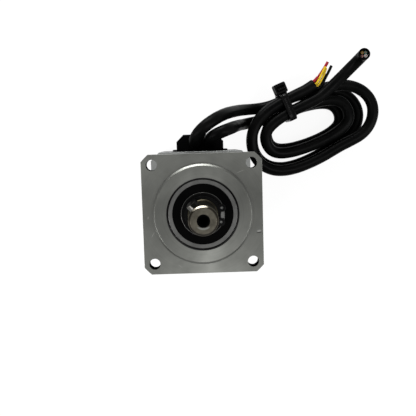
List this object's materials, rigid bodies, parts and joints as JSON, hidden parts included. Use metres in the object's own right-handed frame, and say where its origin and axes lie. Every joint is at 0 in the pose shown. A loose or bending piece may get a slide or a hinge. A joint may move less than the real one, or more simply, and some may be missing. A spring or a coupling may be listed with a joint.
{
  "type": "geared servo motor",
  "caption": "Servo motor with planetary gear head, square flange with round pilot, keyed output shaft and two coiled cables tied in a bundle.",
  "frame": {"origin": "centre of the output flange's mounting face, on the shaft axis", "axes": "+Z along the output shaft, away from the motor; +Y towards the lead outlet on the motor's side; +X to the right seen from the shaft end with the outlet up"},
  "size_m": [0.1515, 0.1218, 0.162],
  "materials": {
    "ball_steel": "polished",
    "bearing_steel": "ground",
    "black_plastic": "moulded",
    "black_steel": "black oxide",
    "black_wire": "extruded",
    "board": "solder mask",
    "bracket_metal": "satin, cast and machined",
    "brown_rubber": "smooth",
    "cable_sheath": "extruded, satin",
    "case_metal": "satin, machined",
    "code_disc": "etched",
    "copper_wire": "enamelled wire",
    "core_insulation": "mixed colours",
    "flange_metal": "brushed, turned front face",
    "gear_steel": "hobbed, oiled",
    "key_steel": "ground",
    "lamination": "stacked sheet, varnished",
    "magnet": "nickel plated",
    "painted_black": "satin black",
    "red_wire": "extruded",
    "seal_rubber": "smooth",
    "shaft_steel": "turned, lightly oiled",
    "tie_plastic": "moulded",
    "yellow_wire": "extruded",
    "zinc_steel": "zinc plated"
  },
  "bodies": {
    "housing": {"output_flange": "flange_metal", "front_bearing_outer": "bearing_steel", "front_bearing_seals": "seal_rubber", "carrier_bearing_outer": "bearing_steel", "ring_gear": "gear_steel", "front_bracket": "bracket_metal", "gear_case_screws": "black_steel", "input_seal": "brown_rubber", "rotor_front_bearing_outer": "bearing_steel", "stator_housing": "painted_black", "stator_core": "lamination", "stator_windings": "copper_wire", "rear_bracket": "bracket_metal", "rotor_rear_bearing_outer": "bearing_steel", "wave_washer": "zinc_steel", "encoder_board": "board", "encoder_reader": "black_plastic", "board_screws": "zinc_steel", "encoder_cover": "painted_black", "cover_screws": "black_steel", "tie_bolts": "black_steel", "lead_outlet": "black_plastic", "outlet_gasket": "seal_rubber", "outlet_screws": "black_steel", "cable_grommet": "seal_rubber", "power_cable_lead": "cable_sheath", "power_cable_coil": "cable_sheath", "power_cable_tail": "cable_sheath", "power_cable_cores": "core_insulation", "encoder_cable_lead": "cable_sheath", "encoder_cable_coil": "cable_sheath", "encoder_cable_tail": "cable_sheath", "encoder_wires_yellow": "yellow_wire", "encoder_wires_red": "red_wire", "encoder_wires_black": "black_wire", "cable_tie": "tie_plastic"},
    "output": {"output_shaft": "shaft_steel", "shaft_key": "key_steel", "shaft_circlip": "black_steel", "front_bearing_inner": "bearing_steel", "carrier_bearing_inner": "bearing_steel", "bearing_spacer": "case_metal", "carrier_plate": "gear_steel", "carrier_screws": "black_steel", "planet_pins": "key_steel"},
    "rotor": {"rotor_shaft": "key_steel", "sun_gear": "gear_steel", "rotor_core": "lamination", "rotor_magnets": "magnet", "encoder_disc": "code_disc", "rotor_front_bearing_inner": "bearing_steel", "rotor_rear_bearing_inner": "bearing_steel"},
    "front_bearing_balls_set": {"front_bearing_balls": "ball_steel"},
    "carrier_bearing_balls_set": {"carrier_bearing_balls": "ball_steel"},
    "rotor_front_bearing_balls_set": {"rotor_front_bearing_balls": "ball_steel"},
    "rotor_rear_bearing_balls_set": {"rotor_rear_bearing_balls": "ball_steel"},
    "planet_body_1": {"planet_gear_1": "gear_steel"},
    "planet_body_2": {"planet_gear_2": "gear_steel"},
    "planet_body_3": {"planet_gear_3": "gear_steel"}
  },
  "joints": [
    {"name": "output_spin", "type": "hinge", "parent": "housing", "child": "output", "pos_m": [0, 0, 0], "axis": [0, 0, 1], "continuous": true},
    {"name": "rotor_spin", "type": "hinge", "parent": "housing", "child": "rotor", "pos_m": [0, 0, 0], "axis": [0, 0, 1], "continuous": true},
    {"name": "front_bearing_balls_roll", "type": "hinge", "parent": "housing", "child": "front_bearing_balls_set", "pos_m": [0, 0, 0], "axis": [0, 0, 1], "continuous": true},
    {"name": "carrier_bearing_balls_roll", "type": "hinge", "parent": "housing", "child": "carrier_bearing_balls_set", "pos_m": [0, 0, 0], "axis": [0, 0, 1], "continuous": true},
    {"name": "rotor_front_bearing_balls_roll", "type": "hinge", "parent": "housing", "child": "rotor_front_bearing_balls_set", "pos_m": [0, 0, 0], "axis": [0, 0, 1], "continuous": true},
    {"name": "rotor_rear_bearing_balls_roll", "type": "hinge", "parent": "housing", "child": "rotor_rear_bearing_balls_set", "pos_m": [0, 0, 0], "axis": [0, 0, 1], "continuous": true},
    {"name": "planet_1_spin", "type": "hinge", "parent": "output", "child": "planet_body_1", "pos_m": [0, 0.0144, 0], "axis": [0, 0, 1], "continuous": true},
    {"name": "planet_2_spin", "type": "hinge", "parent": "output", "child": "planet_body_2", "pos_m": [-0.01247, -0.0072, 0], "axis": [0, 0, 1], "continuous": true},
    {"name": "planet_3_spin", "type": "hinge", "parent": "output", "child": "planet_body_3", "pos_m": [0.01247, -0.0072, 0], "axis": [0, 0, 1], "continuous": true}
  ],
  "couplings": [
    {"joint": "rotor_spin", "follows": "output_spin", "ratio": 4.8},
    {"joint": "front_bearing_balls_roll", "follows": "output_spin", "ratio": 0.38},
    {"joint": "carrier_bearing_balls_roll", "follows": "output_spin", "ratio": 0.38},
    {"joint": "rotor_front_bearing_balls_roll", "follows": "output_spin", "ratio": 1.76},
    {"joint": "rotor_rear_bearing_balls_roll", "follows": "output_spin", "ratio": 1.76},
    {"joint": "planet_1_spin", "follows": "output_spin", "ratio": -2.7143},
    {"joint": "planet_2_spin", "follows": "output_spin", "ratio": -2.7143},
    {"joint": "planet_3_spin", "follows": "output_spin", "ratio": -2.7143}
  ]
}
